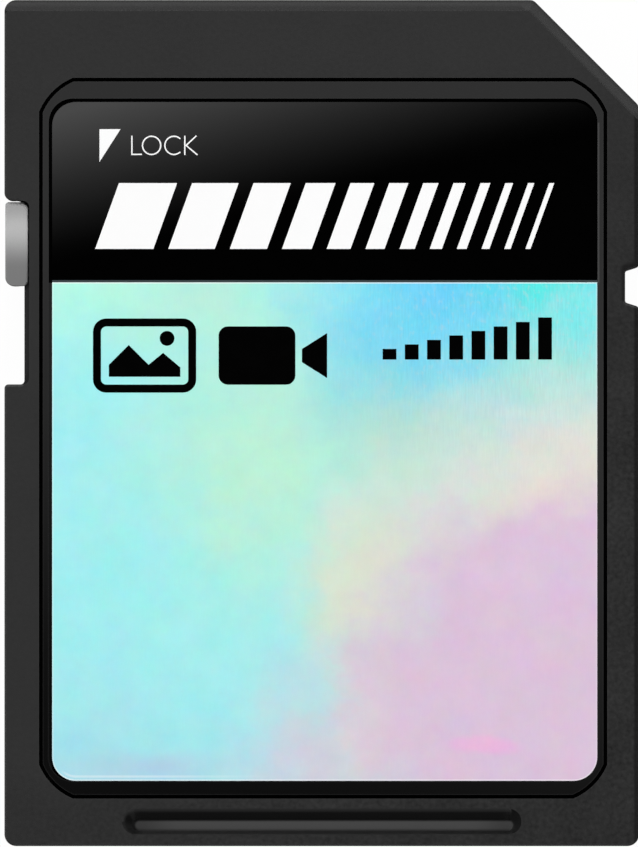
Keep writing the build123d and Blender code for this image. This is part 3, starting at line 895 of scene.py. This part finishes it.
drawn_place = {"Place": foil_place, "Centre": drawn_centre, "Reach": drawn_reach}
drawn_mask = use_group(foil, soft_field, drawn_place)["Mask"]
foil_streaks = use_group(foil, streaks, {"Width": 0.06, "Length": 0.7})["Fac"]
drawn_share = remap(foil, drawn_mask, 0.0, 1.0, *drawn_range, "LINEAR")
streak_swing = calc(foil, "SUBTRACT", foil_streaks, 0.5)
foil_tone = scale_vector(foil, foil_tone, calc(foil, "MULTIPLY_ADD", streak_swing, drawn_share, 1.0))
foil_specks = use_group(foil, streaks, {"Width": 0.14, "Length": 0.25})["Fac"]
speck_mask = rise(foil, foil_specks, speck_start, speck_full, speck_strength)
speck_share = remap(foil, drawn_mask, 0.0, 1.0, speck_least, 1.0, "LINEAR")
foil_tone = mix_colours(foil, both(foil, speck_mask, speck_share), foil_tone, speck_colour)
print("foil mottle, mm:", mottle_size)

# %% [markdown]
# ## Foil edges
# A thin pale line is painted round the foil as a painted highlight on its edge, clearest along the black
# header, and a second line lies just inside the rear edge on the left, where the film was trimmed. The
# distance from the label's outline, round corners and all, places both lines.

# %% Foil edges
header_length = 6.735
divider_width = 0.08
label_corner = 0.9
line_start, line_full = 0.06, 0.04
front_strength, rear_strength, side_strength = 0.6, 0.5, 0.3
trim_inset, trim_strength = 0.165, 0.35
trim_core, trim_reach = 0.02, 0.06
trim_start, trim_end = -7.0, -0.8
pale_line_white = grey(252)

foil_low, foil_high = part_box("front_label")
foil_rear, foil_front = foil_low.y / MM, foil_high.y / MM
foil_start = foil_front - header_length - divider_width
foil_middle = (foil_low.x + foil_high.x) / 2 / MM
foil_half = (foil_high.x - foil_low.x) / 2 / MM
foil_axes = axes(foil, foil_place)
past_side = beyond(foil, apart(foil, foil_axes["X"], foil_middle), foil_half - label_corner)
past_rear = beyond(foil, foil_rear + label_corner, foil_axes["Y"])
from_edge = calc(foil, "SUBTRACT", label_corner, flat_distance(foil, past_side, past_rear))
# Painted highlight: a pale line along the foil's edge, round its corners.
rim_line = both(
    foil,
    rise(foil, from_edge, line_start, line_full),
    remap(foil, past_rear, 0.0, label_corner, side_strength, rear_strength),
)
trim_line = both(
    foil,
    remap(foil, apart(foil, from_edge, trim_inset), trim_core, trim_reach, trim_strength, 0.0),
    fall(foil, foil_axes["X"], trim_start, trim_end),
    rise(foil, past_rear, label_corner / 2, label_corner - trim_inset),
)
from_header = calc(foil, "SUBTRACT", foil_start, foil_axes["Y"])
# Painted highlight: a pale line along the foil's edge beside the header.
front_line = rise(foil, from_header, line_start, line_full, front_strength)
foil_tone = mix_colours(foil, either(foil, front_line, rim_line, trim_line), foil_tone, pale_line_white)
print("foil from", round(foil_start, 2), "to", round(foil_rear, 2))

# %% [markdown]
# ## Foil gloss
# Under the header the film itself is black. The foil is satin, as rough as its mottle makes it, with
# drawing marks that can just be felt.

# %% Foil gloss
film_black = grey(2)
mottle_span, satin_range = (0.2, 0.8), (0.295, 0.305)
drawn_depth = 0.0002

under_header = calc(foil, "GREATER_THAN", foil_axes["Y"], foil_start)
feed(foil, foil_shader.inputs["Base Color"], mix_colours(foil, under_header, foil_tone, film_black))
foil_rough = remap(foil, foil_mottle.outputs["Fac"], *mottle_span, *satin_range)
feed(foil, foil_shader.inputs["Roughness"], foil_rough)
foil_shader.inputs["Specular IOR Level"].default_value = 0.4
raise_relief(foil, foil_shader, both(foil, foil_streaks, drawn_mask), drawn_depth)
print("finish:", label_foil.name)

# %% [markdown]
# ## Inks
# The black header, the white marks and the black marks are screen printed. Ink lies unevenly in a fine
# mottle, which the grain group gives at a small size. The header is glossy, and a grey sheen, painted into
# its colour as a painted reflection, fades along a slant from its front left corner.

# %% Ink finishes
ink_grain, ink_relief = 0.05, 0.0006
sheen_tone, sheen_slant = grey(72), -0.26
sheen_start, sheen_full, sheen_power = 8.37, 14.27, 2.0


def ink_finish(name, colour, tone, roughness):
    """Screen-printed ink with a fine mottle."""
    return grained_finish(name, colour, ink_grain, tone, roughness, ink_relief)


white_ink = ink_finish("white_ink", grey(250), 0.01, 0.45)[0]
black_ink = ink_finish("black_ink", grey(2), 0.1, 0.15)[0]
divider_ink = ink_finish("divider_ink", shade(52, 62, 65), 0.05, 0.4)[0]
header_ink, header, header_shader, header_mottle = ink_finish("header_ink", grey(1), 0.1, 0.12)
header_axes = axes(header, place_mm(header))
# Painted reflection: the header's ink is painted grey along a slant from its front left corner.
sheen_way = calc(header, "MULTIPLY_ADD", header_axes["X"], sheen_slant, header_axes["Y"])
sheen_rise = remap(header, sheen_way, sheen_start, sheen_full, 0.0, 1.0, "LINEAR")
sheen = calc(header, "POWER", sheen_rise, sheen_power)
header_tone = mix_colours(header, sheen, header_mottle["Color"], sheen_tone)
feed(header, header_shader.inputs["Base Color"], header_tone)
print("inks:", [ink.name for ink in (white_ink, black_ink, divider_ink, header_ink)])

# %% [markdown]
# ## Contacts
# The contacts are hard gold over nickel. Each insertion wipes them along their length, so fine streaks
# run along Y in both colour and roughness.

# %% Contact gold
gold_tones = shade(236, 190, 104), shade(250, 214, 140)
tone_span, gloss_span, gold_rough = (0.35, 0.7), (0.3, 0.7), (0.22, 0.38)
wipe_depth = 0.002

contact_gold, gold, gold_shader = new_finish("contact_gold")
wipe = use_group(gold, streaks, {"Width": 0.03, "Length": 1.6})["Fac"]
gold_tone = mix_colours(gold, rise(gold, wipe, *tone_span), *gold_tones)
feed(gold, gold_shader.inputs["Base Color"], gold_tone)
feed(gold, gold_shader.inputs["Roughness"], remap(gold, wipe, *gloss_span, *gold_rough))
gold_shader.inputs["Metallic"].default_value = 1.0
raise_relief(gold, gold_shader, wipe, wipe_depth)
print("finish:", contact_gold.name)

# %% [markdown]
# ## Board and chips
# These are sealed in the case, and only strips of the board show between the contacts. The board is
# laminate under a green mask with the weave of the glass cloth showing faintly. Chips are matt moulding
# resin.

# %% Board and chips
weave_tone, weave_strength, weave_depth = shade(58, 122, 84), 0.18, 0.004

board_laminate, board, board_shader = new_finish("board_laminate")
board_grain = use_group(
    board, moulded_grain, {"Color": shade(26, 84, 58), "Grain Size": 0.2, "Tone": 0.12, "Roughness": 0.35}
)
board_weave = add_node(board, "TexWave", {"Vector": place_mm(board), "Scale": 1.6, "Distortion": 0.6})
weave_share = calc(board, "MULTIPLY", board_weave.outputs["Fac"], weave_strength)
board_tone = mix_colours(board, weave_share, board_grain["Color"], weave_tone)
feed(board, board_shader.inputs["Base Color"], board_tone)
feed(board, board_shader.inputs["Roughness"], board_grain["Roughness"])
raise_relief(board, board_shader, board_weave.outputs["Fac"], weave_depth)
chip_resin = grained_finish("chip_resin", grey(40), size=0.07, tone=0.2, roughness=0.6, depth=0.01)[0]
print("finishes:", board_laminate.name, chip_resin.name)

# %% [markdown]
# ## Small parts
# A capacitor or a resistor has a ceramic body between two tinned ends. How far along the part a point
# lies tells them apart, so one finish serves for both, with its own body colour.

# %% Small parts
tin = grey(205)
body_span = 0.24, 0.76


def small_part_finish(name, body_colour):
    """A ceramic body between two tinned ends."""
    material, tree, shader, grain = grained_finish(
        name, body_colour, size=0.05, tone=0.1, roughness=0.4, depth=0.003
    )
    along = axes(tree, add_node(tree, "TexCoord").outputs["Generated"])["X"]
    in_body = within(tree, along, *body_span)
    feed(tree, shader.inputs["Base Color"], mix_colours(tree, in_body, tin, grain["Color"]))
    feed(tree, shader.inputs["Metallic"], calc(tree, "SUBTRACT", 1.0, in_body))
    return material


capacitor_ceramic = small_part_finish("capacitor_ceramic", shade(176, 138, 96))
resistor_ceramic = small_part_finish("resistor_ceramic", grey(34))
print("finishes:", capacitor_ceramic.name, resistor_ceramic.name)

# %% [markdown]
# ## Dressing the solids
# Each solid names a material slot in its record, so one table from slot to finish dresses all of them.

# %% Dress the solids
finishes = {
    "shell_plastic": case_plastic,
    "slider_plastic": slider_plastic,
    "label_film": label_foil,
    "contact_gold": contact_gold,
    "board_laminate": board_laminate,
    "chip_resin": chip_resin,
    "capacitor_ceramic": capacitor_ceramic,
    "resistor_ceramic": resistor_ceramic,
}
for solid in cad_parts.values():
    slot_name = solid.material_slots[0].material.name.split(".")[0]
    solid.material_slots[0].material = finishes[slot_name]
print("dressed solids:", len(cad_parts))

# %% [markdown]
# ## Printing on the label
# Every printed shape is drawn as outlines in millimetres. Some are filled areas. Lines and letters are
# ribbons: a strip of even width along a path, with its corners mitred. Curves in both are arcs.

# %% Outline helpers
corner_steps, circle_points = 8, 24
mitre_limit = 0.3


def arc(centre, radius, start, end, steps):
    """Points along an arc, with its angles in degrees."""
    angles = [radians(start + (end - start) * step / steps) for step in range(steps + 1)]
    return [(centre[0] + radius * cos(angle), centre[1] + radius * sin(angle)) for angle in angles]


def circle(centre, radius):
    """A closed outline that is round."""
    return arc(centre, radius, 0, 360 - 360 / circle_points, circle_points - 1)


def rounded_box(left, low, right, high, radius):
    """A closed outline with four round corners."""
    corners = [
        ((right - radius, high - radius), 0),
        ((left + radius, high - radius), 90),
        ((left + radius, low + radius), 180),
        ((right - radius, low + radius), 270),
    ]
    rounds = [arc(centre, radius, start, start + 90, corner_steps) for centre, start in corners]
    return [point for turn in rounds for point in turn]


def ribbon(path, width, closed=False):
    """The quads of a strip of even width along a path, mitred at its corners."""
    count = len(path)
    sides = []
    for i, point in enumerate(path):
        here = Vector(point)
        before = Vector(path[i - 1]) if closed or i > 0 else None
        after = Vector(path[(i + 1) % count]) if closed or i < count - 1 else None
        way_in = (here - before).normalized() if before else (after - here).normalized()
        way_out = (after - here).normalized() if after else way_in
        across = Vector((-way_in.y - way_out.y, way_in.x + way_out.x)).normalized()
        reach = width / 2 / max(across.dot(Vector((-way_in.y, way_in.x))), mitre_limit)
        sides.append((here + across * reach, here - across * reach))
    quads = []
    for i in range(count if closed else count - 1):
        left, right = sides[i]
        next_left, next_right = sides[(i + 1) % count]
        quads.append([right, next_right, next_left, left])
    return quads


print("points of a round corner:", corner_steps + 1, "and of a circle:", len(circle((0, 0), 1)))

# %% [markdown]
# ## Ink plates
# Ink has a thickness, a few thousandths of a millimetre, so each printed shape is a thin plate of its own
# that rides on the card. Its outlines are filled, joined where their points meet, and raised.

# %% Plate helper
ink_thickness = 0.006 * MM
join_distance = 0.0005 * MM


def print_plate(name, outlines, base, ink):
    """Raise outlines, in mm, into one thin printed piece that rides on the card."""
    mesh = bpy.data.meshes.new(name)
    shape = bmesh.new()
    for outline in outlines:
        shape.faces.new([shape.verts.new((x * MM, y * MM, base)) for x, y in outline])
    bmesh.ops.remove_doubles(shape, verts=shape.verts, dist=join_distance)
    for face in shape.faces:
        face.normal_update()
        if face.normal.z < 0:
            face.normal_flip()
    raised = bmesh.ops.extrude_face_region(shape, geom=list(shape.faces))
    tops = [item for item in raised["geom"] if isinstance(item, bmesh.types.BMVert)]
    bmesh.ops.translate(shape, verts=tops, vec=(0, 0, ink_thickness))
    bmesh.ops.recalc_face_normals(shape, faces=shape.faces)
    shape.to_mesh(mesh)
    shape.free()
    mesh.materials.append(ink)
    piece = bpy.data.objects.new(name, mesh)
    bpy.context.scene.collection.objects.link(piece)
    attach(piece, "card")
    print(name, "mm:", [round(side / MM, 2) for side in piece.dimensions])
    return piece


print("ink thickness, mm:", round(ink_thickness / MM, 3))

# %% [markdown]
# ## Header field
# The front quarter of the label is overprinted in black, out to its edges, and a thin grey line closes it
# off against the foil. It could be a part of the foil's finish, but as ink it keeps a clean edge at any
# distance.

# %% Header field
header_steps = 12

label_top = foil_high.z
left, right = foil_low.x / MM, foil_high.x / MM
header_rear = foil_front - header_length
turn_y = foil_front - label_corner
header_outline = [(left, header_rear), (right, header_rear)]
header_outline += arc((right - label_corner, turn_y), label_corner, 0, 90, header_steps)
header_outline += arc((left + label_corner, turn_y), label_corner, 90, 180, header_steps)
print_plate("label_header", [header_outline], label_top, header_ink)
divider_middle = header_rear - divider_width / 2
divider_path = [(left, divider_middle), (right, divider_middle)]
print_plate("label_divider", ribbon(divider_path, divider_width), label_top, divider_ink)

# %% [markdown]
# ## Lock marks
# A pointer and the word beside it tell which way the slider locks. A font would bring its own look, so
# the four letters are drawn as ribbons: straight strokes and arcs of one thin width.

# %% Lock marks
pointer_left, pointer_right, pointer_low, pointer_high = -8.405, -7.61, 9.87, 11.108
letter_low, letter_high, letter_stroke = 10.13, 10.86, 0.05
l_stem, l_end = -7.18, -6.80
o_middle, c_middle, bowl = -6.435, -5.59, 0.345
c_mouth, c_steps = 46, 22
k_stem, k_waist, k_arm, k_leg = -5.18, -5.13, -4.74, -4.70

header_top = label_top + ink_thickness
pointer = [(pointer_left, pointer_high), (pointer_left, pointer_low), (pointer_right, pointer_high)]
print_plate("lock_pointer", [pointer], header_top, white_ink)
letter_base = letter_low + letter_stroke / 2
letter_middle = (letter_low + letter_high) / 2
letters = ribbon([(l_stem, letter_high), (l_stem, letter_base), (l_end, letter_base)], letter_stroke)
letters += ribbon(circle((o_middle, letter_middle), bowl), letter_stroke, closed=True)
c_path = arc((c_middle, letter_middle), bowl, c_mouth, 360 - c_mouth, c_steps)
letters += ribbon(c_path, letter_stroke)
letters += ribbon([(k_stem, letter_high), (k_stem, letter_low)], letter_stroke)
letters += ribbon([(k_arm, letter_high), (k_waist, letter_middle), (k_leg, letter_low)], letter_stroke)
print_plate("lock_word", letters, header_top, white_ink)

# %% [markdown]
# ## Speed bars
# A plain run of slanted bars fills the header, each bar a fixed share of the one before it, so the row
# thins out like something that speeds up. A loop works out every bar from the first.

# %% Speed bars
bar_low, bar_high = 6.58, 9.07
bar_slant = 0.9
bar_width, bar_shrink, bar_gap = 2.2, 0.8, 0.565
bar_count, bar_left = 12, -8.57

bars = []
for _ in range(bar_count):
    bar_right = bar_left + bar_width
    bars.append(
        [
            (bar_left, bar_low),
            (bar_right, bar_low),
            (bar_right + bar_slant, bar_high),
            (bar_left + bar_slant, bar_high),
        ]
    )
    bar_left = bar_right + bar_gap
    bar_width *= bar_shrink
print_plate("speed_bars", bars, header_top, white_ink)

# %% [markdown]
# ## Picture and film marks
# Two plain pictograms say what the card stores: a picture frame with a hill and a sun, and a film camera.
# The frame is a closed ribbon, and the rest are filled outlines.

# %% Picture and film marks
mark_low, mark_high = 1.15, 3.95
mark_stroke, mark_corner = 0.3, 0.35
picture_left, picture_right = -8.5, -4.9
film_left, film_right = -3.9, -1.0
sun_place, sun_radius = (-5.85, 3.2), 0.28

inset = mark_stroke / 2
picture_box = rounded_box(picture_left, mark_low + inset, picture_right, mark_high - inset, mark_corner)
picture = ribbon(picture_box, mark_stroke, closed=True)
hill = [(-8.05, 1.75), (-5.35, 1.75), (-5.35, 2.1), (-6.0, 2.65), (-6.55, 2.2), (-7.3, 2.95), (-8.05, 2.2)]
picture += [hill, circle(sun_place, sun_radius)]
print_plate("picture_mark", picture, label_top, black_ink)

film_box = rounded_box(film_left, mark_low + mark_stroke, film_right, mark_high - mark_stroke, mark_corner)
film_hood = [(-0.75, 2.3), (0.2, 1.7), (0.2, 3.4), (-0.75, 2.8)]
print_plate("film_mark", [film_box, film_hood], label_top, black_ink)

# %% [markdown]
# ## Rising bars
# The third mark is a gauge of rising bars, the usual sign for a rate.

# %% Rising bars
gauge_left, gauge_low = 2.3, 2.4
gauge_width, gauge_pitch = 0.52, 0.84
gauge_first, gauge_rise = 0.4, 0.17
gauge_count = 8

gauge = []
for step in range(gauge_count):
    low_left = (gauge_left + step * gauge_pitch, gauge_low)
    high_right = (low_left[0] + gauge_width, gauge_low + gauge_first + step * gauge_rise)
    gauge.append([low_left, (high_right[0], gauge_low), high_right, (low_left[0], high_right[1])])
print_plate("rising_bars", gauge, label_top, black_ink)
